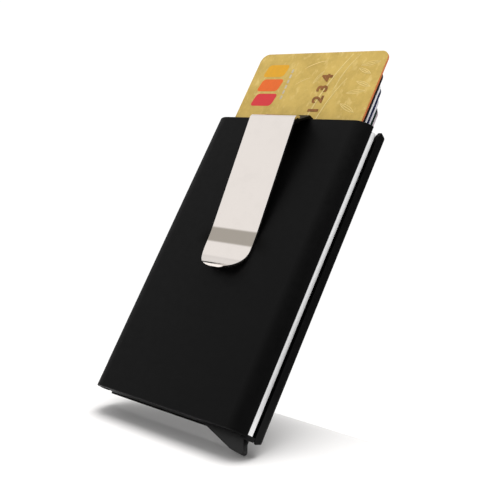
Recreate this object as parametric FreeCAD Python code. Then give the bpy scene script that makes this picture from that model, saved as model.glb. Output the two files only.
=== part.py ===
"""Pop-up card wallet with a sprung money clip.

Millimetres, +Z up. The wallet stands on its short end: X is its width, Y its thickness (front at -Y),
Z its height. It is laid out on a bench grid with y = 0 on the front face and z = 0 on the bottom edge,
and every node is then moved so that the origin is the centre of the flat back face.

The rest state has the cards fanned out and the trigger swung down. Closing turns the trigger up into
the case, which turns the ejector arm down and lets every card sink by its own lift.
"""
import FreeCAD
import Part
import math
import os

V = FreeCAD.Vector

# ---- driving dimensions: the case
BODY_W = 66.0            # width over both sides
BODY_H = 101.2           # height of the front cover
BODY_T = 11.4            # front face to back face
FRONT_R = 5.9            # corner radius of the front edges, seen from above
BACK_R = 2.0             # corner radius of the back edges
SKIN = 1.2               # wall of both metal covers
GAP = 0.05               # seating gap between fitted pieces
FRONT_EDGE = 3.5         # depth at which the front cover ends
TRIM_EDGE = 5.1          # depth at which the bright trim ends
GROOVE_EDGE = 6.6        # depth at which the rear cover starts
GROOVE_DEPTH = 1.6       # floor of the side groove, below the outer surface
CASE_Z = (0.4, 99.4)     # moulded case
TRIM_Z = (0.6, 99.4)     # bright trims, standing on the case's feet
FOOT_LOW = {-1: 0.1, 1: -0.7}   # underside of the case's left and right foot
REAR_LIP = (-0.9, 101.5)  # rear cover, lip to lip

# ---- cards: ISO ID-1
CARD_W = 53.98
CARD_H = 85.6
CARD_T = 0.76
CARD_R = 3.18
CARD_Y0 = 3.56           # front face of the first card
CARD_PITCH = 0.95
CARD_TOPS = (129.9, 123.05, 119.4, 118.7, 115.2, 112.8, 112.2)   # fanned
CLOSED_TOP = 100.2       # every card's top edge when closed

# ---- card chamber and mechanism pocket in the case
CHAMBER_X = 27.84
CHAMBER_Y = 3.45         # rear face of the case's front wall
CASE_BACK = 10.15
POCKET_X = 30.7
POCKET_Z = (3.2, 13.2)
HUB_WELL = (18.6, 28.5, 1.95)   # well for the arm's hub and heel: X from, X to, floor
TIP_WELL_TOP = 24.2      # the arm's longest step swings up beside the cards to here

# ---- trigger: the blade that shows under the bottom edge
TRIG_X, TRIG_Z = 13.2, 1.8
TRIG_HUB_R = 1.8
TRIG_PIN_R = 0.8
TRIG_Y = (6.8, 9.4)
TRIG_SLOPE = 18.45       # slope of its lower edge at rest, degrees
TRIG_STROKE = 17.5       # degrees, rest to closed
TAIL_CORNER = 0.9        # rounded end of the tail
TAIL_BEVEL = 0.7         # along the back of the tail, for the fingertip
TIP_RELIEF = 0.65        # depth of the relief for the tail's end inside the rear cover's right wall

# ---- ejector arm: the stepped cam that lifts the cards
ARM_X, ARM_Z = 22.0, 6.0
ARM_HUB_R = 3.2
ARM_PIN_R = 1.25
ARM_STROKE = 48.0        # degrees, rest to closed
ARM_ROOT_BACK = 6.7      # rear face of the arm's root, in front of the trigger
ARM_CLEAR_R = 11.8       # behind the root the arm keeps this far from its pivot
ARM_KEEL = 2.3           # the arm's straight lower edge, below its pivot when closed
STEP_GAP = 0.05          # step to card
DRIVE_R = 4.65           # drive pin, from the arm's pivot
DRIVE_PIN_R = 1.0
HEEL_R = 2.0
RUN = 0.05               # running clearance on pins

# ---- money clip and its bracket
CLIP_W = 19.0
CLIP_T = 0.8
CLIP_PIVOT_Y, CLIP_PIVOT_Z = -4.53, 97.4
CLIP_LEAN = 7.5          # lean of the straight leg, degrees
CLIP_TOUCH_Z = 52.4      # where the strip lies on the front face
FLARE_R = 9.7            # below that it bends away again
FLARE_ANGLE = 45.0
CLIP_TIP_R = 8.0         # side corners of the tip
NOSE_R = 0.9
CURL_END = 82.0          # angle at which the curl stops, from +Y towards +Z
ARM_T = 0.8              # bracket arm

# ---- fasteners
SCREW_X = 29.8
SCREW_ZS = (27.0, 94.0)
SCREW_R = 0.8
SCREW_HEAD_R = 1.5
RIVET_R = 1.0
RIVET_ZS = (83.0, 92.0)


# ---------------------------------------------------------------- helpers
def export(name, shape):
    """Moves a finished node from the bench grid to the part's frame and writes it."""
    shape = shape.copy()
    shape.translate(V(0, -BODY_T, -BODY_H / 2))
    shape.exportStep("parts/" + name + ".step")
    solids = shape.Solids
    print("%-22s solids %d volume %9.2f valid %s" % (name, len(solids), shape.Volume, shape.isValid()))


def box(x0, x1, y0, y1, z0, z1):
    return Part.makeBox(x1 - x0, y1 - y0, z1 - z0, V(x0, y0, z0))


def rod(x, z, radius, y0, y1):
    """A cylinder along Y."""
    return Part.makeCylinder(radius, y1 - y0, V(x, y0, z), V(0, 1, 0))


def plate(edges, y0, y1):
    """A flat outline in the XZ plane, given as edges at y = 0, made y1 - y0 thick."""
    face = Part.Face(Part.Wire(Part.__sortEdges__(edges)))
    solid = face.extrude(V(0, y1 - y0, 0))
    solid.translate(V(0, y0, 0))
    return solid


def polygon_edges(points):
    """Straight edges through (x, z) points, closed."""
    corners = [V(x, 0, z) for x, z in points]
    return [Part.LineSegment(a, b).toShape() for a, b in zip(corners, corners[1:] + corners[:1])]


def turned(x, z, about_x, about_z, degrees):
    """A point turned about (about_x, about_z), counter-clockwise as seen from the front."""
    a = math.radians(degrees)
    dx, dz = x - about_x, z - about_z
    return (about_x + dx * math.cos(a) - dz * math.sin(a), about_z + dx * math.sin(a) + dz * math.cos(a))


def sleeve(inset, z0, z1):
    """The whole outer form, inset all round: round front corners, tighter back corners."""
    half = BODY_W / 2 - inset
    solid = box(-half, half, inset, BODY_T - inset, z0, z1)
    front = [e for e in solid.Edges if upright(e) and e.CenterOfMass.y < BODY_T / 2]
    solid = solid.makeFillet(FRONT_R - inset, front)
    back = [e for e in solid.Edges if upright(e) and abs(e.CenterOfMass.y - (BODY_T - inset)) < 0.01
            and abs(abs(e.CenterOfMass.x) - half) < 0.01]
    return solid.makeFillet(max(BACK_R - inset, 0.4), back)


def upright(edge):
    if len(edge.Vertexes) < 2:
        return False
    a, b = edge.Vertexes[0].Point, edge.Vertexes[-1].Point
    return abs(a.x - b.x) < 1e-6 and abs(a.y - b.y) < 1e-6


def side_prism(points, x0, x1):
    """A flat outline in the YZ plane, given as (y, z) corners, made from x0 to x1."""
    corners = [V(x0, y, z) for y, z in points]
    return Part.Face(Part.makePolygon(corners + corners[:1])).extrude(V(x1 - x0, 0, 0))


def card_y(index):
    return CARD_Y0 + index * CARD_PITCH


def lift(index):
    return CARD_TOPS[index] - CLOSED_TOP


def drive_pin_centre():
    return turned(ARM_X + DRIVE_R, ARM_Z, ARM_X, ARM_Z, -ARM_STROKE / 2)


# ---------------------------------------------------------------- covers and case
def front_cover():
    shell = sleeve(0, 0, BODY_H).cut(sleeve(SKIN, -1, BODY_H + 1))
    shell = shell.common(box(-BODY_W, BODY_W, -1, FRONT_EDGE, -1, BODY_H + 1))
    rim = [e for e in shell.Edges if abs(e.CenterOfMass.z) < 0.01 or abs(e.CenterOfMass.z - BODY_H) < 0.01]
    outer = [e for e in rim if e.Length > 5 and outside_edge(e)]
    return shell.makeChamfer(0.15, outer)


def outside_edge(edge):
    """True for the rim edges that lie on the outer surface."""
    point = edge.valueAt((edge.FirstParameter + edge.LastParameter) / 2)
    if abs(point.y) < 0.01:
        return True
    corner_x = BODY_W / 2 - FRONT_R
    reach = math.hypot(abs(point.x) - corner_x, point.y - FRONT_R)
    return abs(reach - FRONT_R) < 0.01


def side_trim(side):
    """The bright strip that fills the wall between the front cover and the groove."""
    ring = sleeve(0, *TRIM_Z).cut(sleeve(SKIN, -1, BODY_H))
    x0, x1 = (0, BODY_W) if side > 0 else (-BODY_W, 0)
    return ring.common(box(x0, x1, FRONT_EDGE + 0.04, TRIM_EDGE, -1, BODY_H))


def rear_cover():
    low, high = REAR_LIP
    shell = sleeve(0, low, high).cut(sleeve(SKIN, low - 1, high + 1))
    ends = side_prism([(GROOVE_EDGE, 0.6), (7.7, low), (10.2, low + 0.8), (BODY_T, low + 1.9),
                       (BODY_T, high - 1.6), (10.1, high - 0.5), (7.6, high), (GROOVE_EDGE, high - 1.8)],
                      -BODY_W, BODY_W)
    shell = shell.common(ends)
    corner_notch = box(-BODY_W, -29.5, 0, BODY_T - SKIN, low - 1, 1.4)
    shell = shell.cut(corner_notch)
    wall_in = BODY_W / 2 - SKIN
    shell = shell.cut(box(wall_in - 0.1, wall_in + TIP_RELIEF, 0, TRIG_Y[1] + 0.4, low - 1, 6.0))
    for x in (-SCREW_X, SCREW_X):
        for z in SCREW_ZS:
            shell = shell.cut(rod(x, z, SCREW_R + RUN, 9, BODY_T + 1))
            shell = shell.cut(screw_cone(x, z, 0.03))
    for x, z, radius in pivots():
        boss = rod(x, z, radius + 1.0, CASE_BACK + GAP, BODY_T - SKIN + 0.01)
        shell = shell.fuse(boss).cut(rod(x, z, radius, 9, PIN_BACK))
    return shell.removeSplitter()


def screw_cone(x, z, grow):
    """The countersink of one back screw."""
    depth = 0.8
    return Part.makeCone(SCREW_R + grow, SCREW_HEAD_R + grow, depth, V(x, BODY_T - depth, z), V(0, 1, 0))


def pivots():
    return ((TRIG_X, TRIG_Z, TRIG_PIN_R), (ARM_X, ARM_Z, ARM_PIN_R))


PIN_FRONT = 2.2          # bottom of the pins' blind holes in the case
PIN_BACK = 10.9          # bottom of their blind holes in the rear cover


def card_case():
    solid = sleeve(SKIN + GAP, *CASE_Z).common(box(-BODY_W, BODY_W, 0, CASE_BACK, -1, BODY_H))
    solid = solid.cut(box(-CHAMBER_X, CHAMBER_X, CHAMBER_Y, BODY_T, POCKET_Z[1], BODY_H))
    solid = solid.cut(box(-POCKET_X, POCKET_X, CHAMBER_Y, BODY_T, *POCKET_Z))
    solid = solid.cut(box(HUB_WELL[0], HUB_WELL[1], CHAMBER_Y, ARM_ROOT_BACK + 0.1, HUB_WELL[2], POCKET_Z[1]))
    solid = solid.cut(box(-POCKET_X, 0, CHAMBER_Y, card_y(1), POCKET_Z[0], TIP_WELL_TOP))
    groove_floor = BODY_W / 2 - GROOVE_DEPTH
    for side in (-1, 1):
        edge = sorted((side * groove_floor, side * BODY_W))
        solid = solid.cut(box(edge[0], edge[1], TRIM_EDGE, GROOVE_EDGE, -1, BODY_H))
        solid = solid.cut(strip_seat(side))
        solid = solid.fuse(foot(side))
    blade_slot = box(TRIG_X - 2.1, BODY_W, TRIG_Y[0] - 0.1, TRIG_Y[1] + 0.1, -1, 8.0)
    solid = solid.cut(blade_slot)
    hub_seat = box(TRIG_X - 2.1, TRIG_X + 2.1, TRIG_Y[0] - 0.1, BODY_T, -1, POCKET_Z[0] + 1)
    solid = solid.cut(hub_seat)
    solid = solid.cut(box(-CLIP_W / 2 - 0.1, CLIP_W / 2 + 0.1, 0, BRACKET_BACK + GAP, BRACKET_LOW - 0.1, BODY_H))
    for z in RIVET_ZS:
        for x in (-5, 5):
            solid = solid.cut(rod(x, z, RIVET_R, 0, RIVET_BACK))
    for x in (-SCREW_X, SCREW_X):
        for z in SCREW_ZS:
            solid = solid.cut(rod(x, z, SCREW_R, 4.6, BODY_T))
    for x, z, radius in pivots():
        solid = solid.cut(rod(x, z, radius, PIN_FRONT, BODY_T))
    return solid.removeSplitter()


def foot(side):
    """The corner of the case that reaches out under one trim."""
    x0, x1 = sorted((side * 30.2, side * BODY_W))
    return sleeve(0, FOOT_LOW[side], TRIM_Z[0]).common(box(x0, x1, FRONT_EDGE + 0.04, GROOVE_EDGE - 0.1, -1, 1))


def strip_seat(side):
    """The shallow recess that holds one friction strip."""
    x = sorted((side * (CHAMBER_X - 0.01), side * (CHAMBER_X + STRIP_SINK)))
    return box(x[0], x[1], 3.7, 9.4, *STRIP_Z)


STRIP_SINK = 0.6
STRIP_Z = (28.0, 96.0)


def friction_strip(side):
    """Felt strip that rubs the cards' long edges."""
    x = sorted((side * (CARD_W / 2 + 0.05), side * (CHAMBER_X + STRIP_SINK)))
    return box(x[0], x[1], 3.7, 9.4, *STRIP_Z)


def bond_tape():
    """Two strips of tape between the front cover and the case's front wall."""
    strips = []
    for side in (-1, 1):
        x = sorted((side * 12, side * 24))
        strips.append(box(x[0], x[1], SKIN, SKIN + GAP, 8, 94))
    return Part.makeCompound(strips)


# ---------------------------------------------------------------- mechanism
def ejector_arm():
    """Stepped cam. Each step is the involute that lifts its card evenly as the arm turns."""
    body = None
    count = len(CARD_TOPS)
    for index in range(count):
        y0 = card_y(index) - STEP_GAP
        y1 = min(y0 + CARD_PITCH, card_y(count - 1) + CARD_T)
        blade = plate(step_outline(index), y0, y1)
        body = blade if body is None else body.fuse(blade)
    back = card_y(count - 1) + CARD_PITCH + 1
    body = body.cut(rod(ARM_X, ARM_Z, ARM_CLEAR_R, ARM_ROOT_BACK, back))
    front = card_y(0) - STEP_GAP
    body = body.fuse(rod(ARM_X, ARM_Z, ARM_HUB_R, front, ARM_ROOT_BACK))
    pin_x, pin_z = closed_drive_pin()
    body = body.fuse(rod(pin_x, pin_z, HEEL_R, front, ARM_ROOT_BACK))
    body = body.cut(rod(ARM_X, ARM_Z, ARM_PIN_R + RUN, 0, BODY_T))
    body = body.cut(rod(pin_x, pin_z, DRIVE_PIN_R, 0, BODY_T))
    body = body.removeSplitter()
    body.rotate(V(ARM_X, 0, ARM_Z), V(0, 1, 0), ARM_STROKE)
    return body


def closed_drive_pin():
    return turned(ARM_X + DRIVE_R, ARM_Z, ARM_X, ARM_Z, ARM_STROKE / 2)


def step_outline(index):
    """Outline of one step with the arm closed: keel, end, involute and back to the hub."""
    stroke = math.radians(ARM_STROKE)
    base = lift(index) / stroke
    seat = CLOSED_TOP - CARD_H - ARM_Z - STEP_GAP
    involute = []
    for i in range(9):
        t = stroke * i / 8
        reach = seat + base * t
        x = ARM_X - base * math.cos(t) - reach * math.sin(t)
        z = ARM_Z - base * math.sin(t) + reach * math.cos(t)
        involute.append(V(x, 0, z))
    curve = Part.BSplineCurve()
    curve.interpolate(involute)
    end = involute[-1]
    keel = ARM_Z - ARM_KEEL
    lead = 0.5
    corners = [end, V(end.x - lead, 0, end.z - 0.6), V(end.x - lead, 0, keel), V(ARM_X, 0, keel),
               V(ARM_X, 0, ARM_Z + ARM_HUB_R), involute[0]]
    edges = [Part.LineSegment(a, b).toShape() for a, b in zip(corners, corners[1:])]
    return edges + [curve.toShape()]


def trigger_lever():
    """The blade: hub, neck under the arm's pivot, head with the cam slot, and the tail that shows."""
    slope = math.radians(TRIG_SLOPE)
    foot_at = (TRIG_X - TRIG_HUB_R * math.sin(slope), TRIG_Z - TRIG_HUB_R * math.cos(slope))
    run = 14.0
    knee = (foot_at[0] + run * math.cos(slope), foot_at[1] - run * math.sin(slope))
    tip = (31.3, -4.95)
    head_foot = (29.0, -0.3)
    points = [foot_at, knee, tip, head_foot, (28.9, 2.2), (29.6, 5.2), (28.4, 6.5), (25.2, 6.5),
              (24.75, 5.6), (24.75, 3.0), (23.9, 1.5), (20.6, 1.5),
              (TRIG_X + 2, TRIG_Z + TRIG_HUB_R), (TRIG_X, TRIG_Z + TRIG_HUB_R)]
    blade = plate(polygon_edges(points), *TRIG_Y)
    corner = [e for e in blade.Edges if abs(e.Length - (TRIG_Y[1] - TRIG_Y[0])) < 1e-6
              and math.hypot(e.CenterOfMass.x - tip[0], e.CenterOfMass.z - tip[1]) < 0.01]
    blade = blade.makeFillet(TAIL_CORNER, corner)
    back_edge = [e for e in blade.Edges if abs(e.CenterOfMass.y - TRIG_Y[1]) < 1e-6
                 and e.CenterOfMass.z < head_foot[1] and e.CenterOfMass.x > foot_at[0] + 1]
    blade = blade.makeChamfer(TAIL_BEVEL, back_edge)
    blade = blade.fuse(rod(TRIG_X, TRIG_Z, TRIG_HUB_R, *TRIG_Y))
    blade = blade.cut(rod(TRIG_X, TRIG_Z, TRIG_PIN_R + RUN, 0, BODY_T))
    blade = blade.cut(cam_slot())
    return blade.removeSplitter()


def cam_slot():
    """The path of the drive pin in the trigger, from rest to closed, with running clearance."""
    radius = DRIVE_PIN_R + RUN
    path = []
    for i in range(7):
        share = i / 6
        pin = turned(ARM_X + DRIVE_R, ARM_Z, ARM_X, ARM_Z, ARM_STROKE * (share - 0.5))
        path.append(turned(pin[0], pin[1], TRIG_X, TRIG_Z, -TRIG_STROKE * share))
    slot = None
    for x, z in path:
        hole = rod(x, z, radius, 0, BODY_T)
        slot = hole if slot is None else slot.fuse(hole)
    for (xa, za), (xb, zb) in zip(path, path[1:]):
        length = math.hypot(xb - xa, zb - za)
        nx, nz = (za - zb) / length * radius, (xb - xa) / length * radius
        link = polygon_edges([(xa + nx, za + nz), (xb + nx, zb + nz), (xb - nx, zb - nz), (xa - nx, za - nz)])
        slot = slot.fuse(plate(link, 0, BODY_T))
    return slot


def drive_pin():
    x, z = drive_pin_centre()
    return rod(x, z, DRIVE_PIN_R, card_y(0) - STEP_GAP + 0.3, TRIG_Y[1])


def pivot_pin(x, z, radius):
    return rod(x, z, radius, PIN_FRONT, PIN_BACK)


def trigger_washer():
    """Keeps the trigger blade off the rear cover."""
    ring = rod(TRIG_X, TRIG_Z, 1.7, TRIG_Y[1] + 0.05, CASE_BACK)
    return ring.cut(rod(TRIG_X, TRIG_Z, TRIG_PIN_R + RUN, 0, BODY_T))


# ---------------------------------------------------------------- cards
def card(index):
    top = CARD_TOPS[index]
    y = card_y(index)
    solid = box(-CARD_W / 2, CARD_W / 2, y, y + CARD_T, top - CARD_H, top)
    corners = [e for e in solid.Edges if abs(e.Length - CARD_T) < 1e-6]
    return solid.makeFillet(CARD_R, corners)


# ---------------------------------------------------------------- clip
BRACKET_LOW = 79.0       # lower end of the bracket's tongue
BRACKET_BACK = SKIN + GAP + 0.8
RIVET_BACK = 3.0


def money_clip():
    """Spring-steel strip: a curl round the bracket's nose, a straight leaning leg, then a long easy
    bend that touches the front face, and a flared tip."""
    lean = math.radians(CLIP_LEAN)
    flare = math.radians(FLARE_ANGLE)
    touch_y = -CLIP_T - 0.04
    outer = NOSE_R + RUN + CLIP_T
    leg_top = polar(outer, math.pi + lean)
    drop = leg_top.z - CLIP_TOUCH_Z
    easy_r = (leg_top.y + drop * math.tan(lean) - touch_y) / (math.sin(lean) * math.tan(lean) - 1 + math.cos(lean))
    edges = []
    ends = []
    for skin in (0, CLIP_T):
        curl = [polar(outer - skin, a) for a in (math.pi + lean, (math.pi + lean + math.radians(CURL_END)) / 2,
                                                 math.radians(CURL_END))]
        easy = [on_arc(touch_y - easy_r, easy_r + skin, a) for a in (lean, lean / 2, 0)]
        tip = [on_arc(touch_y - FLARE_R, FLARE_R + skin, a) for a in (0, -flare / 2, -flare)]
        edges += [Part.Arc(*curl).toShape(), Part.LineSegment(curl[0], easy[0]).toShape(),
                  Part.Arc(*easy).toShape(), Part.Arc(*tip).toShape()]
        ends.append((curl[2], tip[2]))
    for front, back in zip(*ends):
        edges.append(Part.LineSegment(front, back).toShape())
    section = Part.Face(Part.Wire(Part.__sortEdges__(edges)))
    section.translate(V(-CLIP_W / 2, 0, 0))
    strip = section.extrude(V(CLIP_W, 0, 0))
    return strip.common(clip_outline(strip.BoundBox.ZMin))


def on_arc(centre_y, radius, angle):
    """A point of one of the strip's bends, whose centres lie level with the touching line."""
    return V(0, centre_y + radius * math.cos(angle), CLIP_TOUCH_Z + radius * math.sin(angle))


def polar(radius, angle):
    return V(0, CLIP_PIVOT_Y + radius * math.cos(angle), CLIP_PIVOT_Z + radius * math.sin(angle))


def clip_outline(low):
    """The strip seen from the front: straight sides and a tip with large round corners."""
    solid = box(-CLIP_W / 2, CLIP_W / 2, -12, 3, low, BODY_H + 5)
    corners = [e for e in solid.Edges if abs(e.Length - 15) < 1e-6 and e.CenterOfMass.z < low + 1]
    return solid.makeFillet(CLIP_TIP_R, corners)


def clip_bracket():
    """Hooks over the rim: a tongue behind the front cover, and an arm that ends in the clip's nose."""
    half = CLIP_W / 2
    tongue = box(-half, half, SKIN + GAP, BRACKET_BACK, BRACKET_LOW, BODY_H + 0.1)
    bridge_top = BODY_H + 1.1
    bridge = side_prism([(BRACKET_BACK, BODY_H + 0.05), (BRACKET_BACK, bridge_top - 0.4),
                         (BRACKET_BACK - 0.4, bridge_top), (-0.3, bridge_top), (-0.3, BODY_H + 0.05)], -half, half)
    toward = math.atan2(bridge_top - 0.55 - CLIP_PIVOT_Z, -0.3 - CLIP_PIVOT_Y)
    dy, dz = -math.sin(toward) * ARM_T / 2, math.cos(toward) * ARM_T / 2
    root = (-0.15, bridge_top - 0.5)
    arm = side_prism([(CLIP_PIVOT_Y + dy, CLIP_PIVOT_Z + dz), (root[0] + dy, root[1] + dz), (0.2, bridge_top),
                      (0.2, BODY_H + 0.05), (root[0] - dy, root[1] - dz),
                      (CLIP_PIVOT_Y - dy, CLIP_PIVOT_Z - dz)], -half, half)
    nose = Part.makeCylinder(NOSE_R, CLIP_W, V(-half, CLIP_PIVOT_Y, CLIP_PIVOT_Z), V(1, 0, 0))
    solid = tongue.fuse([bridge, arm, nose])
    for z in RIVET_ZS:
        for x in (-5, 5):
            solid = solid.cut(rod(x, z, RIVET_R, 0, RIVET_BACK))
    return solid.removeSplitter()


def bracket_rivets():
    """Four rivets through the bracket's tongue into the case's front wall."""
    return Part.makeCompound([rod(x, z, RIVET_R, SKIN + GAP + 0.05, RIVET_BACK) for z in RIVET_ZS for x in (-5, 5)])


# ---------------------------------------------------------------- fasteners
def back_screws():
    """Four countersunk screws with a six-lobed recess, through the rear cover into the case."""
    screws = []
    for x in (-SCREW_X, SCREW_X):
        for z in SCREW_ZS:
            screws.append(screw(x, z))
    return Part.makeCompound(screws)


def screw(x, z):
    body = rod(x, z, SCREW_R, 4.7, BODY_T - 0.05).fuse(screw_cone(x, z, 0))
    recess = rod(x, z, 0.42, BODY_T - 0.55, BODY_T + 1)
    for i in range(6):
        a = math.radians(60 * i)
        recess = recess.fuse(rod(x + 0.42 * math.cos(a), z + 0.42 * math.sin(a), 0.17, BODY_T - 0.55, BODY_T + 1))
    return body.cut(recess)


# ---------------------------------------------------------------- build
def main():
    os.makedirs("parts", exist_ok=True)
    export("front_cover", front_cover())
    export("card_case", card_case())
    export("left_trim", side_trim(-1))
    export("right_trim", side_trim(1))
    export("rear_cover", rear_cover())
    export("bond_tape", bond_tape())
    export("left_friction_strip", friction_strip(-1))
    export("right_friction_strip", friction_strip(1))
    export("trigger_lever", trigger_lever())
    export("trigger_pivot_pin", pivot_pin(TRIG_X, TRIG_Z, TRIG_PIN_R))
    export("trigger_washer", trigger_washer())
    export("ejector_arm", ejector_arm())
    export("ejector_pivot_pin", pivot_pin(ARM_X, ARM_Z, ARM_PIN_R))
    export("drive_pin", drive_pin())
    for index in range(len(CARD_TOPS)):
        export("card_%d" % (index + 1), card(index))
    export("money_clip", money_clip())
    export("clip_bracket", clip_bracket())
    export("bracket_rivets", bracket_rivets())
    export("back_screws", back_screws())


main()
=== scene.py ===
"""Looks for the pop-up card wallet: materials, printed and embossed card details, floor, light and camera.

Metres, in the part's own frame: X is the width, the front is at -Y, Z is up, and the origin is the centre
of the flat back face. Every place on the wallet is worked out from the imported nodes' boxes.
"""
import math

import bmesh
import bpy
from mathutils import Matrix, Vector

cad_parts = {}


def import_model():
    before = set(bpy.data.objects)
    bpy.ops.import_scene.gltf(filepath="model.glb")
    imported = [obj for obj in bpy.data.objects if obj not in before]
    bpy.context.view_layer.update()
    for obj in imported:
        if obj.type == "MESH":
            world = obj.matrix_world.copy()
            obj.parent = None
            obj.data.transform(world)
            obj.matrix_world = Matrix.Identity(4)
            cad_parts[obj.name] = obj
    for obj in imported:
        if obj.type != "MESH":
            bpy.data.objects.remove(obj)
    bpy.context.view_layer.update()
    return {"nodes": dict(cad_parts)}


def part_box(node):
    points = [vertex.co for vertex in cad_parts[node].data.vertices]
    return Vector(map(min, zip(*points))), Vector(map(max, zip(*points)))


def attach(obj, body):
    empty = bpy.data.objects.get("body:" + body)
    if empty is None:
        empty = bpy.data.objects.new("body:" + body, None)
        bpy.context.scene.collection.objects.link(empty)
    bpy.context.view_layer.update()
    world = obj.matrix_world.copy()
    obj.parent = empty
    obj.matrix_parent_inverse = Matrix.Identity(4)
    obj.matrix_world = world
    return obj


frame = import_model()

MM = 0.001

# ---- camera: a long lens, low and to the right of the front
LENS = 65.17
SENSOR = 36
CAMERA_AT = Vector((192.2, -204.9, -73.4)) * MM
FORWARD = Vector((-0.6619, 0.6975, 0.2746))
UP = Vector((-0.116, -0.4572, 0.8818))
CLIP_START = 10 * MM

# ---- floor: a slope under and in front of the wallet, level behind it
FLOOR_SLOPE = math.radians(34.6)
FLOOR_WIDTH = 1.6
FLOOR_FRONT = -0.9
FLOOR_BACK = 1.2
FLOOR_COLUMNS = (-1, -0.1, 0.1, 1)
FLOOR_GAP = 0.05 * MM
CREST_START = 12.0 * MM
CREST_END = 46.0 * MM
CREST_STEPS = 40
FLOOR_TONES = ((0.880, 0.872, 0.868), (0.900, 0.893, 0.890))

# ---- cards, front to back, and what is printed and raised on them
CARD_SLOTS = (
    "card_gold", "card_black", "card_white", "card_navy", "card_lilac", "card_green", "card_mauve",
)
PRINT_HEIGHT = 0.015 * MM
RELIEF_HEIGHT = 0.045 * MM

BADGE_BARS = (9.4 * MM, 5.0 * MM)
BADGE_RADIUS = 1.3 * MM
BADGE_LEAN = 0.22
BADGE_FROM_LEFT = 9.6 * MM
BADGE_FROM_TOP = 7.2 * MM
BADGE_PITCH = 6.0 * MM

DASHES = 6
DASH_SIZE = (0.8 * MM, 1.5 * MM)
DASH_RADIUS = 0.3 * MM
DASH_FROM_LEFT = 17.0 * MM
DASH_FROM_TOP = 7.4 * MM
DASH_PITCH = 2.15 * MM

DIGITS = "1234"
DIGIT_SIZE = 5.7 * MM
DIGIT_BOLD = 0.21 * MM
DIGIT_HEIGHT = 0.085 * MM
DIGIT_ROUND = 0.02 * MM
DIGIT_FROM_LEFT = 35.0 * MM
DIGIT_FROM_TOP = 23.2 * MM
DIGIT_PITCH = 4.3 * MM

VEIN_SECTION = ((-1, 0.0), (-0.55, 0.85), (0, 1.0), (0.55, 0.85), (1, 0.0))
TAPER_POWER = 0.6
TAPER_ENDS = 0.25
STEM_STEPS = 26
LEAF_STEPS = 12
LEAF_SPREAD = 44
LEAF_MIDRIB = 0.30 * MM
LEAF_SIDE = 0.26 * MM

STRIPE_WIDTH = 11.4 * MM
STRIPE_FROM_EDGE = 10.6 * MM
STRIPE_INSET = 0.15 * MM
STRIPE_RADIUS = 0.05 * MM
PANEL_SIZE = (9.0 * MM, 58.0 * MM)
PANEL_RADIUS = 0.8 * MM
PANEL_FROM_EDGE = 24.5 * MM
PANEL_RAISED = 6.0 * MM

GOLD = (0.700, 0.490, 0.118)
GOLD_DEEP = (0.560, 0.380, 0.080)
GOLD_PALE = (0.800, 0.610, 0.220)
GOLD_RELIEF = (0.830, 0.640, 0.240)
GOLD_DIGIT = (0.300, 0.115, 0.022)
ORANGE_CORE = ((0.70, 0.16, 0.05), (0.85, 0.28, 0.09))
AMBER = (0.800, 0.390, 0.000)
ORANGE = (0.850, 0.140, 0.002)
CORAL = (0.720, 0.022, 0.030)
SILVER_INK = (0.600, 0.530, 0.390)
STRIPE_BROWN = (0.020, 0.014, 0.012)
PAPER = (0.820, 0.800, 0.760)

# ---- studio: radiances, and panels as (direction, inner degrees, outer degrees, radiance)
BACKDROP = 1.05
BACKDROP_TINT = (1.0, 0.998, 0.995, 1)
ROOM = 0.34
PANELS = (
    ((-0.66, -0.70, 0.30), 26, 38, 1.0),
    ((0.90, 0.14, 0.42), 13, 23, 1.1),
    ((0.00, -0.95, -0.30), 20, 32, 0.50),
    ((-0.69, 0.05, 0.72), 16, 28, 0.88),
    ((0.60, 0.80, 0.30), 14, 26, 0.06),
)
OVERHEAD = 2.9
OVERHEAD_SPREAD = 48
OVERHEAD_FROM = (-0.02, -0.36, 1.0)
OVERHEAD_TINT = (1.0, 0.992, 0.985)
FLAG_GREY = (0.47, 0.455, 0.42)
FLAG_Y = -14.0 * MM
FLAG_RISE = (9.3 * MM, 14.6 * MM)
FLAG_REACH = (9.0 * MM, 4.0 * MM)
FLAG_FADE = (5.0 * MM, 0.8 * MM)


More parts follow.
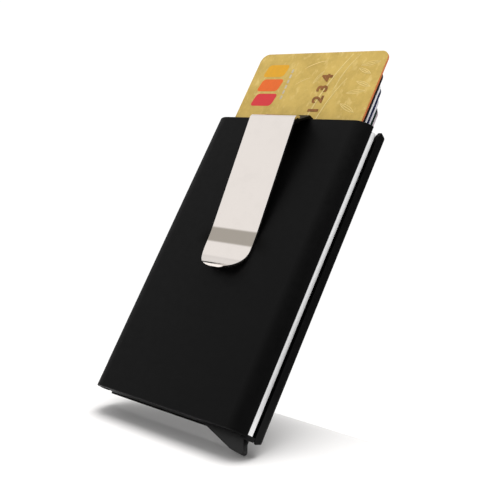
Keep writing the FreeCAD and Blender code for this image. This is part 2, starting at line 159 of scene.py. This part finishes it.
# ---------------------------------------------------------------- material trees
class Tree:
    """One material's nodes, added by short calls. Lengths inside a tree are millimetres."""

    def __init__(self, name):
        self.material = bpy.data.materials.new(name)
        self.material.use_nodes = True
        self.nodes = self.material.node_tree.nodes
        self.links = self.material.node_tree.links
        self.shader = self.nodes["Principled BSDF"]
        coordinates = self.nodes.new("ShaderNodeTexCoord")
        self.side = coordinates.outputs["Normal"]
        self.softened = None
        self.place = self.stretch(coordinates.outputs["Object"], (1 / MM, 1 / MM, 1 / MM))

    def feed(self, socket, value):
        if isinstance(value, bpy.types.NodeSocket):
            self.links.new(value, socket)
        elif isinstance(value, tuple) and len(value) == 3 and socket.type == "RGBA":
            socket.default_value = (*value, 1)
        else:
            socket.default_value = value

    def set(self, **values):
        """Feeds the shader's inputs: base_color=..., roughness=... and so on."""
        for key, value in values.items():
            name = key.replace("_", " ").title().replace("Ior", "IOR")
            self.feed(self.shader.inputs[name], value)
        return self.material

    def stretch(self, vector, factors):
        node = self.nodes.new("ShaderNodeVectorMath")
        node.operation = "MULTIPLY"
        self.feed(node.inputs[0], vector)
        node.inputs[1].default_value = factors
        return node.outputs[0]

    def noise(self, per_mm, detail=3, roughness=0.55, stretched=None):
        node = self.nodes.new("ShaderNodeTexNoise")
        where = self.stretch(self.place, stretched) if stretched else self.place
        self.feed(node.inputs["Vector"], where)
        node.inputs["Scale"].default_value = per_mm
        node.inputs["Detail"].default_value = detail
        node.inputs["Roughness"].default_value = roughness
        return node.outputs["Fac"]

    def cells(self, per_mm):
        node = self.nodes.new("ShaderNodeTexVoronoi")
        self.feed(node.inputs["Vector"], self.place)
        node.inputs["Scale"].default_value = per_mm
        return node.outputs["Distance"]

    def ramp(self, value, low, high, start=0.0, end=1.0):
        node = self.nodes.new("ShaderNodeMapRange")
        node.interpolation_type = "SMOOTHSTEP"
        self.feed(node.inputs["Value"], value)
        for key, number in zip(("From Min", "From Max", "To Min", "To Max"), (low, high, start, end)):
            node.inputs[key].default_value = number
        return node.outputs[0]

    def maths(self, operation, first, second=0.0):
        node = self.nodes.new("ShaderNodeMath")
        node.operation = operation
        self.feed(node.inputs[0], first)
        self.feed(node.inputs[1], second)
        return node.outputs[0]

    def mix(self, factor, first, second):
        node = self.nodes.new("ShaderNodeMix")
        node.data_type = "RGBA"
        self.feed(node.inputs[0], factor)
        self.feed(node.inputs[6], first)
        self.feed(node.inputs[7], second)
        return node.outputs[2]

    def axis(self, vector, letter):
        node = self.nodes.new("ShaderNodeSeparateXYZ")
        self.feed(node.inputs[0], vector)
        return node.outputs[letter]

    def bump(self, height, depth, strength):
        node = self.nodes.new("ShaderNodeBump")
        node.inputs["Strength"].default_value = strength
        node.inputs["Distance"].default_value = depth * MM
        self.feed(node.inputs["Height"], height)
        if self.softened:
            self.feed(node.inputs["Normal"], self.softened)
        return node.outputs[0]

    def soften(self, radius):
        """Lets sharp edges catch the light as if rounded to that radius."""
        node = self.nodes.new("ShaderNodeBevel")
        node.samples = 4
        node.inputs["Radius"].default_value = radius * MM
        self.softened = node.outputs[0]

    def edges(self, radius, low=0.02, high=0.3):
        """1 along sharp edges, 0 on flat ground: where handling wears a finish."""
        rounded = self.nodes.new("ShaderNodeBevel")
        rounded.samples = 4
        rounded.inputs["Radius"].default_value = radius * MM
        surface = self.nodes.new("ShaderNodeNewGeometry")
        dot = self.nodes.new("ShaderNodeVectorMath")
        dot.operation = "DOT_PRODUCT"
        self.feed(dot.inputs[0], rounded.outputs[0])
        self.feed(dot.inputs[1], surface.outputs["Normal"])
        return self.ramp(self.maths("SUBTRACT", 1.0, dot.outputs["Value"]), low, high)


def shade(colour, factor):
    return tuple(channel * factor for channel in colour)


# ---------------------------------------------------------------- materials
def anodised(name, colour, worn):
    """Bead-blasted, anodised aluminium: fine grain, faint handling marks, edges rubbed to worn."""
    tree = Tree(name)
    tree.soften(0.15)
    cloud = tree.noise(0.12, 4)
    grain = tree.noise(9, 2, 0.7)
    marks = tree.ramp(tree.noise(1.4, 3, 0.6, (1, 1, 0.12)), 0.62, 0.78)
    colour = tree.mix(cloud, shade(colour, 0.8), shade(colour, 1.2))
    rubbed = tree.maths("MULTIPLY", tree.edges(0.35), tree.ramp(cloud, 0.3, 0.7, 0.35, 0.9))
    colour = tree.mix(rubbed, colour, worn)
    rough = tree.ramp(tree.noise(0.5, 5), 0.3, 0.7, 0.40, 0.50)
    rough = tree.maths("SUBTRACT", rough, tree.maths("MULTIPLY", marks, 0.05))
    return tree.set(base_color=colour, metallic=0.0, roughness=rough, specular_ior_level=0.08,
                    normal=tree.bump(grain, 0.006, 0.35))


def moulded(name, colour, roughness, specular, grain_per_mm=5.0, depth=0.01):
    """Moulded plastic or a baked coating: fine grain, slow flow marks, edges polished by rubbing."""
    tree = Tree(name)
    tree.soften(0.18)
    flow = tree.noise(0.2, 3, 0.5, (1, 1, 0.4))
    grain = tree.cells(grain_per_mm)
    edge = tree.edges(0.3)
    base = tree.mix(flow, shade(colour, 0.82), shade(colour, 1.2))
    base = tree.mix(tree.maths("MULTIPLY", edge, 0.6), base, shade(colour, 1.9))
    wear = tree.maths("ADD", flow, tree.maths("MULTIPLY", edge, -0.4))
    rough = tree.ramp(wear, 0.1, 0.8, roughness - 0.08, roughness + 0.05)
    return tree.set(base_color=base, roughness=rough, specular_ior_level=specular,
                    normal=tree.bump(grain, depth, 0.4))


def brushed(name, colour, roughness, lines, line_per_mm, depth=0.004, metallic=1.0):
    """Metal with a fine directional finish. lines are the stretch factors: small along the brush marks."""
    tree = Tree(name)
    tree.soften(0.12)
    strokes = tree.noise(line_per_mm, 2, 0.6, lines)
    stain = tree.noise(0.25, 3)
    base = tree.mix(strokes, shade(colour, 0.94), shade(colour, 1.05))
    base = tree.mix(tree.ramp(stain, 0.35, 0.75, 0.0, 0.35), base, shade(colour, 0.88))
    rough = tree.ramp(strokes, 0.3, 0.7, roughness - 0.05, roughness + 0.06)
    return tree.set(base_color=base, metallic=metallic, roughness=rough,
                    normal=tree.bump(strokes, depth, 0.35))


def polished(name, colour):
    """Polished spring steel: hairlines across the strip, faint smudges, bright rubbed edges."""
    tree = Tree(name)
    hairs = tree.noise(16, 2, 0.6, (0.05, 1, 1))
    smudge = tree.ramp(tree.noise(0.16, 5, 0.6), 0.45, 0.75)
    edge = tree.edges(0.22, 0.03, 0.25)
    base = tree.mix(tree.maths("MULTIPLY", smudge, 0.5), colour, shade(colour, 0.95))
    base = tree.mix(edge, base, (0.97, 0.96, 0.95))
    rough = tree.maths("ADD", tree.ramp(smudge, 0, 1, 0.07, 0.12), tree.maths("MULTIPLY", edge, 0.12))
    return tree.set(base_color=base, metallic=1.0, roughness=rough,
                    normal=tree.bump(hairs, 0.0012, 0.25))


def felt(name, colour):
    """Dense needled felt: short crossing fibres and a soft sheen."""
    tree = Tree(name)
    long_fibre = tree.noise(7, 4, 0.7, (1, 1, 0.25))
    cross_fibre = tree.noise(8, 4, 0.7, (0.3, 1, 1))
    fibre = tree.maths("MAXIMUM", long_fibre, cross_fibre)
    base = tree.mix(tree.ramp(fibre, 0.4, 0.8), shade(colour, 0.55), shade(colour, 1.7))
    return tree.set(base_color=base, roughness=0.95, specular_ior_level=0.1, sheen_weight=0.6,
                    normal=tree.bump(fibre, 0.08, 0.8))


def tape(name, colour):
    """Foam tape: small open pores in a grey sheet, each pore darkened with painted shade."""
    tree = Tree(name)
    pores = tree.ramp(tree.cells(3.5), 0.05, 0.4)
    sheet = tree.mix(tree.noise(0.6), shade(colour, 0.9), shade(colour, 1.1))
    # painted shade: each pore's centre is darkened to half the sheet's colour, standing in for shade inside
    # the hole
    base = tree.mix(pores, shade(colour, 0.5), sheet)
    return tree.set(base_color=base, roughness=0.85, specular_ior_level=0.2,
                    normal=tree.bump(pores, 0.05, 0.7))


def laminate(name, face, edge, core):
    """A printed plastic card: a faintly clouded face, and an edge in thin layers of two colours."""
    tree = Tree(name)
    mottle = tree.noise(0.22, 5, 0.6)
    peel = tree.noise(1.2, 2)
    facing = tree.maths("ABSOLUTE", tree.axis(tree.side, "Y"))
    is_face = tree.ramp(facing, 0.75, 0.95)
    printed = tree.mix(tree.ramp(mottle, 0.3, 0.7), shade(face, 0.86), shade(face, 1.08))
    layers = tree.mix(tree.ramp(tree.noise(2.5, 2, 0.5, (0.2, 6, 0.2)), 0.35, 0.65), edge, core)
    worn = tree.maths("MULTIPLY", tree.edges(0.12), 0.35)
    base = tree.mix(is_face, layers, tree.mix(worn, printed, core))
    rough = tree.ramp(mottle, 0.25, 0.75, 0.23, 0.38)
    return tree.set(base_color=base, roughness=rough, specular_ior_level=0.35,
                    normal=tree.bump(peel, 0.01, 0.15))


def pearl_gold(name):
    """The gold card: pearl ink in soft clouds, swirls and fine flakes, and an orange core at the edge."""
    tree = Tree(name)
    cloud = tree.noise(0.16, 5, 0.65)
    flake = tree.noise(5, 2, 0.6)
    swirl = tree.noise(0.55, 4, 0.6, (1, 1, 0.6))
    facing = tree.maths("ABSOLUTE", tree.axis(tree.side, "Y"))
    is_face = tree.ramp(facing, 0.75, 0.95)
    face = tree.mix(tree.ramp(cloud, 0.3, 0.7), GOLD_DEEP, GOLD)
    face = tree.mix(tree.ramp(swirl, 0.52, 0.72, 0.0, 0.65), face, GOLD_PALE)
    face = tree.mix(tree.ramp(flake, 0.55, 0.8, 0.0, 0.3), face, shade(GOLD_PALE, 1.1))
    core = tree.mix(tree.noise(1.5, 3), *ORANGE_CORE)
    base = tree.mix(is_face, core, face)
    rough = tree.ramp(swirl, 0.3, 0.7, 0.42, 0.55)
    return tree.set(base_color=base, metallic=0.12, roughness=rough, specular_ior_level=0.35,
                    normal=tree.bump(swirl, 0.05, 0.35))


def ink(name, colour, roughness, variation, metallic=0.0):
    """A printed or hot-stamped area: halftone-sized unevenness in an otherwise even colour."""
    tree = Tree(name)
    dots = tree.cells(6)
    uneven = tree.noise(0.5, 4)
    cloudy = tree.ramp(uneven, 0.3, 0.7)
    base = tree.mix(cloudy, shade(colour, 1 - variation), shade(colour, 1 + variation * 0.5))
    base = tree.mix(tree.ramp(dots, 0.1, 0.5, 0.15, 0.0), base, shade(colour, 0.75))
    rough = tree.ramp(uneven, 0.3, 0.7, roughness - 0.06, roughness + 0.06)
    return tree.set(base_color=base, roughness=rough, metallic=metallic, specular_ior_level=0.35,
                    normal=tree.bump(dots, 0.004, 0.2))


def dress(node, material):
    """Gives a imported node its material; the node's shape and place stay as packed."""
    data = frame["nodes"][node].data
    data.materials.clear()
    data.materials.append(material)


def dress_case():
    """Covers, trims, inner case, liners, bracket, screws and pins."""
    black = anodised("black_anodised", (0.0016, 0.0016, 0.0017), (0.013, 0.013, 0.014))
    dress("front_cover", black)
    dress("rear_cover", black)
    dress("card_case", moulded("black_moulding", (0.0045, 0.0045, 0.0048), 0.6, 0.12))
    silver = brushed("bright_trim", (0.88, 0.88, 0.885), 0.34, (1, 1, 0.03), 12)
    dress("left_trim", silver)
    dress("right_trim", silver)
    dress("bond_tape", tape("tape", (0.3, 0.3, 0.3)))
    dark_felt = felt("felt", (0.05, 0.05, 0.05))
    dress("left_friction_strip", dark_felt)
    dress("right_friction_strip", dark_felt)
    dress("clip_bracket", moulded("dark_steel", (0.0015, 0.0015, 0.0016), 0.5, 0.08, 6.0, 0.006))
    dress("back_screws", brushed("screw_black", (0.035, 0.035, 0.037), 0.38, (1, 0.1, 1), 12, 0.003, 0.8))
    pins = brushed("steel_pins", (0.62, 0.62, 0.62), 0.3, (1, 0.08, 1), 14)
    for node in ("bracket_rivets", "trigger_pivot_pin", "ejector_pivot_pin", "drive_pin"):
        dress(node, pins)


def dress_mechanism():
    """The moving metal and plastic: washer, trigger, ejector arm and clip."""
    dress("trigger_washer", moulded("slide_plastic", (0.75, 0.74, 0.70), 0.42, 0.4))
    dress("trigger_lever", moulded("trigger_black", (0.0050, 0.0050, 0.0052), 0.34, 0.30, 7.0, 0.005))
    dress("ejector_arm", moulded("arm_plastic", (0.1, 0.1, 0.1), 0.45, 0.35))
    dress("money_clip", polished("polished_steel", (0.80, 0.745, 0.705)))


def dress_cards():
    """The gold card, then the six behind it by their face, edge and core colours."""
    dress("card_1", pearl_gold(CARD_SLOTS[0]))
    colours = (
        ((0.045, 0.030, 0.028), (0.020, 0.008, 0.008), (0.006, 0.004, 0.006)),
        ((0.880, 0.880, 0.880), (0.900, 0.900, 0.920), (0.820, 0.830, 0.860)),
        ((0.020, 0.040, 0.150), (0.006, 0.010, 0.045), (0.020, 0.030, 0.090)),
        ((0.800, 0.780, 0.860), (0.740, 0.700, 0.820), (0.860, 0.850, 0.900)),
        ((0.020, 0.090, 0.060), (0.003, 0.012, 0.008), (0.010, 0.030, 0.022)),
        ((0.720, 0.680, 0.760), (0.860, 0.840, 0.860), (0.560, 0.400, 0.480)),
    )
    for number, (slot, (face, edge, core)) in enumerate(zip(CARD_SLOTS[1:], colours), 2):
        dress("card_%d" % number, laminate(slot, face, edge, core))


# ---------------------------------------------------------------- printed and raised pieces on the cards
def gold_card():
    """The gold card at rest: its left X, right X, top Z and the Y of its front face."""
    low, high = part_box("card_1")
    return low.x, high.x, high.z, low.y


def rounded_outline(width, height, radius, steps, lean=0.0):
    """Points of a rounded rectangle round the origin. lean is its sideways shift per unit of height."""
    points = []
    for corner in range(4):
        sign_x = 1 if corner in (0, 3) else -1
        sign_z = 1 if corner in (0, 1) else -1
        centre_x = sign_x * (width / 2 - radius)
        centre_z = sign_z * (height / 2 - radius)
        for step in range(steps + 1):
            angle = math.radians(90 * (corner + step / steps))
            x = centre_x + radius * math.cos(angle)
            z = centre_z + radius * math.sin(angle)
            points.append((x + lean * z, z))
    return points


def plate(name, outline, at, y, outward, body, material):
    """A thin closed plate round at, on a card's face at depth y, standing out to -Y or +Y (outward)."""
    mesh = bmesh.new()
    base = [mesh.verts.new((at[0] + x, y, at[1] + z)) for x, z in outline]
    face = mesh.faces.new(base)
    raised = bmesh.ops.extrude_face_region(mesh, geom=[face])
    top = [item for item in raised["geom"] if isinstance(item, bmesh.types.BMVert)]
    bmesh.ops.translate(mesh, verts=top, vec=(0, outward * PRINT_HEIGHT, 0))
    bmesh.ops.recalc_face_normals(mesh, faces=mesh.faces)
    return piece_from(mesh, name, body, material)


def piece_from(mesh, name, body, material):
    """Turns a bmesh into a piece that rides on a CAD body."""
    data = bpy.data.meshes.new(name)
    mesh.to_mesh(data)
    mesh.free()
    piece = bpy.data.objects.new(name, data)
    bpy.context.scene.collection.objects.link(piece)
    data.materials.append(material)
    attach(piece, body)
    return piece


def emblem():
    """A generic badge of three slanted bars, amber to coral, near the gold card's top left corner."""
    left, _, top, y = gold_card()
    outline = rounded_outline(*BADGE_BARS, BADGE_RADIUS, 6, BADGE_LEAN)
    for index, (name, colour) in enumerate((("amber", AMBER), ("orange", ORANGE), ("coral", CORAL))):
        at = (left + BADGE_FROM_LEFT, top - BADGE_FROM_TOP - index * BADGE_PITCH)
        printed = ink("emblem_" + name, colour, 0.36, 0.04)
        plate("emblem_" + name, outline, at, y, -1, "card_1", printed)


def ink_dashes():
    """A row of plain light dashes beside the badge."""
    left, _, top, y = gold_card()
    silver = ink("silver_ink", SILVER_INK, 0.35, 0.15, 0.2)
    outline = rounded_outline(*DASH_SIZE, DASH_RADIUS, 3)
    for index in range(DASHES):
        at = (left + DASH_FROM_LEFT, top - DASH_FROM_TOP - index * DASH_PITCH)
        plate("ink_dash_%d" % (index + 1), outline, at, y, -1, "card_1", silver)


def embossed_digits():
    """Four raised generic digits, stamped in brown, reading along the card's long side."""
    left, _, top, y = gold_card()
    stamped = ink("stamped_digits", GOLD_DIGIT, 0.38, 0.35, 0.3)
    turned = Matrix(((0, -1, 0), (0, 0, -1), (1, 0, 0))).to_4x4()
    for index, digit in enumerate(DIGITS):
        data = bpy.data.curves.new("digit", "FONT")
        data.body = digit
        data.size = DIGIT_SIZE
        data.offset = DIGIT_BOLD
        data.extrude = DIGIT_HEIGHT / 2 - DIGIT_ROUND
        data.bevel_depth = DIGIT_ROUND
        data.bevel_resolution = 2
        data.align_x = "CENTER"
        shape = bpy.data.objects.new("digit", data)
        bpy.context.scene.collection.objects.link(shape)
        bpy.context.view_layer.update()
        mesh = bmesh.new()
        mesh.from_mesh(bpy.data.meshes.new_from_object(shape))
        bpy.data.objects.remove(shape)
        up = top - DIGIT_FROM_TOP + index * DIGIT_PITCH
        at = Vector((left + DIGIT_FROM_LEFT, y - DIGIT_HEIGHT / 2, up))
        bmesh.ops.transform(mesh, matrix=Matrix.Translation(at) @ turned, verts=mesh.verts)
        bmesh.ops.remove_doubles(mesh, verts=mesh.verts, dist=0.001 * MM)
        piece_from(mesh, "embossed_digit_%d" % (index + 1), "card_1", stamped)


def ribbon(name, points, widths, y, material):
    """A low raised vein along a line of (x, z) points, as wide as widths say, ridged in its middle."""
    mesh = bmesh.new()
    rows = []
    for index, (x, z) in enumerate(points):
        before = points[max(index - 1, 0)]
        after = points[min(index + 1, len(points) - 1)]
        along = Vector((after[0] - before[0], after[1] - before[1])).normalized()
        across = Vector((-along.y, along.x)) * widths[index] / 2
        height = RELIEF_HEIGHT * min(1.0, widths[index] / widths[len(widths) // 2])
        rows.append([mesh.verts.new((x + across.x * side, y - height * lift, z + across.y * side))
                     for side, lift in VEIN_SECTION])
    for first, second in zip(rows, rows[1:]):
        for column in range(len(first) - 1):
            mesh.faces.new((first[column], first[column + 1], second[column + 1], second[column]))
        mesh.faces.new((first[-1], first[0], second[0], second[-1]))
    mesh.faces.new(rows[0])
    mesh.faces.new(list(reversed(rows[-1])))
    bmesh.ops.recalc_face_normals(mesh, faces=mesh.faces)
    for face in mesh.faces:
        face.smooth = True
    return piece_from(mesh, name, "card_1", material)


def arc_points(start, heading, turn, length, steps):
    """Points of an arc that leaves at heading degrees from +X towards +Z and turns by turn degrees."""
    points = [Vector(start)]
    for step in range(steps):
        angle = math.radians(heading + turn * (step + 0.5) / steps)
        points.append(points[-1] + Vector((math.cos(angle), math.sin(angle))) * length / steps)
    return [(point.x, point.y) for point in points]


def taper(count, middle):
    """Widths along a line: full in the middle, narrow at both ends."""
    shares = [max(math.sin(math.pi * index / (count - 1)), 0.0) ** TAPER_POWER for index in range(count)]
    return [middle * (TAPER_ENDS + (1 - TAPER_ENDS) * share) for share in shares]


def leaf_relief():
    """Curved stems and pointed leaves, tone on tone, mostly over the right half of the gold card."""
    left, right, top, y = gold_card()
    pale = ink("relief_gold", GOLD_RELIEF, 0.42, 0.10, 0.15)
    # stems: start, heading and turn in degrees, length, width
    stems = (
        ((right - 14.2 * MM, top - 0.9 * MM), -118, 26, 34 * MM, 0.75 * MM),
        ((right - 11.0 * MM, top - 0.9 * MM), -125, 34, 17 * MM, 0.55 * MM),
        ((right - 12.6 * MM, top - 10.6 * MM), -120, 34, 27 * MM, 0.60 * MM),
        ((left + 22.0 * MM, top - 6.5 * MM), 35, -30, 9 * MM, 0.40 * MM),
        ((left + 20.8 * MM, top - 13.0 * MM), 40, -25, 6 * MM, 0.35 * MM),
    )
    for index, (start, heading, turn, length, width) in enumerate(stems):
        points = arc_points(start, heading, turn, length, STEM_STEPS)
        ribbon("stem_%d" % (index + 1), points, taper(len(points), width), y, pale)
    # leaves: foot, heading in degrees, length
    leaves = (
        ((right - 9.2 * MM, top - 5.6 * MM), 12, 7.4 * MM),
        ((right - 9.6 * MM, top - 6.6 * MM), -22, 6.2 * MM),
        ((right - 8.4 * MM, top - 11.8 * MM), -18, 6.8 * MM),
        ((right - 10.6 * MM, top - 16.4 * MM), 8, 7.2 * MM),
        ((right - 11.2 * MM, top - 20.4 * MM), -26, 7.8 * MM),
        ((left + 28.0 * MM, top - 12.8 * MM), 62, 6.0 * MM),
    )
    for index, (start, heading, length) in enumerate(leaves):
        leaf("leaf_%d" % (index + 1), start, heading, length, y, pale)


def leaf(name, start, heading, length, y, material):
    """A leaf of three raised veins that part at its foot and meet again at its tip."""
    for part, turn in enumerate((0, LEAF_SPREAD, -LEAF_SPREAD)):
        points = arc_points(start, heading + turn / 2, -turn, length, LEAF_STEPS)
        width = LEAF_SIDE if turn else LEAF_MIDRIB
        ribbon("%s_vein_%d" % (name, part + 1), points, taper(len(points), width), y, material)


def card_backs():
    """A magnetic stripe and a signature panel on the back of every card."""
    stripe = ink("magnetic_stripe", STRIPE_BROWN, 0.3, 0.2)
    panel = ink("signature_panel", PAPER, 0.7, 0.05)
    for number, slot in enumerate(CARD_SLOTS, 1):
        node = "card_%d" % number
        low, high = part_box(node)
        middle = (low.z + high.z) / 2
        outline = rounded_outline(STRIPE_WIDTH, high.z - low.z - 2 * STRIPE_INSET, STRIPE_RADIUS, 1)
        at = (low.x + STRIPE_FROM_EDGE, middle)
        plate("magnetic_stripe_%d" % number, outline, at, high.y, 1, node, stripe)
        outline = rounded_outline(*PANEL_SIZE, PANEL_RADIUS, 4)
        at = (low.x + PANEL_FROM_EDGE, middle + PANEL_RAISED)
        plate("signature_panel_%d" % number, outline, at, high.y, 1, node, panel)


# ---------------------------------------------------------------- stage
def floor():
    """A smooth pale sheet: it slopes under and before the wallet, and is level beyond a crest behind it."""
    low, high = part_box("trigger_lever")
    tangent = math.tan(FLOOR_SLOPE)
    contact = Vector((high.y, low.z - FLOOR_GAP))
    crest_z = contact.y + (CREST_START - contact.x) * tangent
    depth = CREST_END - CREST_START

    def height(y):
        if y <= CREST_START:
            return contact.y + (y - contact.x) * tangent
        run = min(y, CREST_END) - CREST_START
        return crest_z + tangent * (run - run * run / (2 * depth))

    crest = [CREST_START + depth * step / CREST_STEPS for step in range(CREST_STEPS + 1)]
    stations = [FLOOR_FRONT, CREST_START - MM, *crest, CREST_END + MM, FLOOR_BACK]
    mesh = bmesh.new()
    rows = [[mesh.verts.new((side * FLOOR_WIDTH / 2, y, height(y))) for side in FLOOR_COLUMNS]
            for y in stations]
    for first, second in zip(rows, rows[1:]):
        for column in range(len(first) - 1):
            mesh.faces.new((first[column], first[column + 1], second[column + 1], second[column]))
    for face in mesh.faces:
        face.smooth = True
    data = bpy.data.meshes.new("floor")
    mesh.to_mesh(data)
    mesh.free()
    sheet = bpy.data.objects.new("floor", data)
    bpy.context.scene.collection.objects.link(sheet)
    tree = Tree("floor")
    tone = tree.mix(tree.noise(0.02, 3), *FLOOR_TONES)
    rough = tree.ramp(tree.noise(0.3), 0.3, 0.7, 0.85, 0.95)
    data.materials.append(tree.set(base_color=tone, roughness=rough, specular_ior_level=0.0,
                                   normal=tree.bump(tree.noise(2), 0.01, 0.1)))


def world():
    """A white backdrop. What lights the wallet and mirrors in it is a dimmer studio with a few panels."""
    surround = bpy.data.worlds.new("studio")
    surround.use_nodes = True
    tree = surround.node_tree
    background = tree.nodes["Background"]
    coordinates = tree.nodes.new("ShaderNodeTexCoord")

    def towards(axis, inner, outer):
        """1 within inner degrees of that direction, 0 beyond outer degrees."""
        dot = tree.nodes.new("ShaderNodeVectorMath")
        dot.operation = "DOT_PRODUCT"
        tree.links.new(coordinates.outputs["Generated"], dot.inputs[0])
        dot.inputs[1].default_value = Vector(axis).normalized()
        ramp = tree.nodes.new("ShaderNodeMapRange")
        ramp.interpolation_type = "SMOOTHSTEP"
        tree.links.new(dot.outputs["Value"], ramp.inputs["Value"])
        ramp.inputs["From Min"].default_value = math.cos(math.radians(outer))
        ramp.inputs["From Max"].default_value = math.cos(math.radians(inner))
        return ramp.outputs[0]

    def blend(factor, first, second):
        mix = tree.nodes.new("ShaderNodeMix")
        for socket, value in zip((mix.inputs[0], mix.inputs[2], mix.inputs[3]), (factor, first, second)):
            if isinstance(value, bpy.types.NodeSocket):
                tree.links.new(value, socket)
            else:
                socket.default_value = value
        return mix.outputs[0]

    studio = ROOM
    for axis, inner, outer, radiance in PANELS:
        studio = blend(towards(axis, inner, outer), studio, radiance)
    path = tree.nodes.new("ShaderNodeLightPath")
    strength = blend(path.outputs["Is Camera Ray"], studio, BACKDROP)
    background.inputs["Color"].default_value = BACKDROP_TINT
    tree.links.new(strength, background.inputs["Strength"])
    bpy.context.scene.world = surround


def flag():
    """A narrow grey card before the clip's lower end, fading out at its rim. Only reflections show it."""
    low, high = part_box("money_clip")
    sides = (low.x - FLAG_REACH[0], high.x + FLAG_REACH[1])
    rise = (low.z + FLAG_RISE[0], low.z + FLAG_RISE[1])
    corners = ((0, 0), (1, 0), (1, 1), (0, 1))
    mesh = bmesh.new()
    mesh.faces.new([mesh.verts.new((sides[side], FLAG_Y, rise[level])) for side, level in corners])
    data = bpy.data.meshes.new("flag")
    mesh.to_mesh(data)
    mesh.free()
    card = bpy.data.objects.new("flag", data)
    bpy.context.scene.collection.objects.link(card)
    tree = Tree("flag")
    shown = 1.0
    for letter, (start, end), fade in (("X", sides, FLAG_FADE[0]), ("Z", rise, FLAG_FADE[1])):
        place = tree.axis(tree.place, letter)
        shown = tree.maths("MULTIPLY", shown, tree.ramp(place, start / MM, (start + fade) / MM))
        shown = tree.maths("MULTIPLY", shown, tree.ramp(place, (end - fade) / MM, end / MM, 1.0, 0.0))
    data.materials.append(tree.set(base_color=(0, 0, 0), emission_color=FLAG_GREY, emission_strength=1.0,
                                   roughness=1.0, specular_ior_level=0.0, alpha=shown))
    card.visible_camera = False
    card.visible_diffuse = False
    card.visible_shadow = False


def lights():
    """One very soft overhead light, a little to the front."""
    data = bpy.data.lights.new("overhead", "SUN")
    data.energy = OVERHEAD
    data.angle = math.radians(OVERHEAD_SPREAD)
    data.color = OVERHEAD_TINT
    lamp = bpy.data.objects.new("overhead", data)
    lamp.rotation_euler = Vector(OVERHEAD_FROM).to_track_quat("Z", "Y").to_euler()
    bpy.context.scene.collection.objects.link(lamp)


def camera():
    """The main view's camera."""
    data = bpy.data.cameras.new("camera")
    data.lens = LENS
    data.sensor_width = SENSOR
    data.clip_start = CLIP_START
    cam = bpy.data.objects.new("camera", data)
    bpy.context.scene.collection.objects.link(cam)
    back = -FORWARD.normalized()
    right = UP.cross(back).normalized()
    up = back.cross(right)
    turn = Matrix((right, up, back)).transposed()
    cam.matrix_world = Matrix.Translation(CAMERA_AT) @ turn.to_4x4()
    bpy.context.scene.camera = cam


camera()
bpy.context.scene.view_settings.view_transform = "Standard"
dress_case()
dress_mechanism()
dress_cards()
emblem()
ink_dashes()
embossed_digits()
leaf_relief()
card_backs()
floor()
world()
flag()
lights()
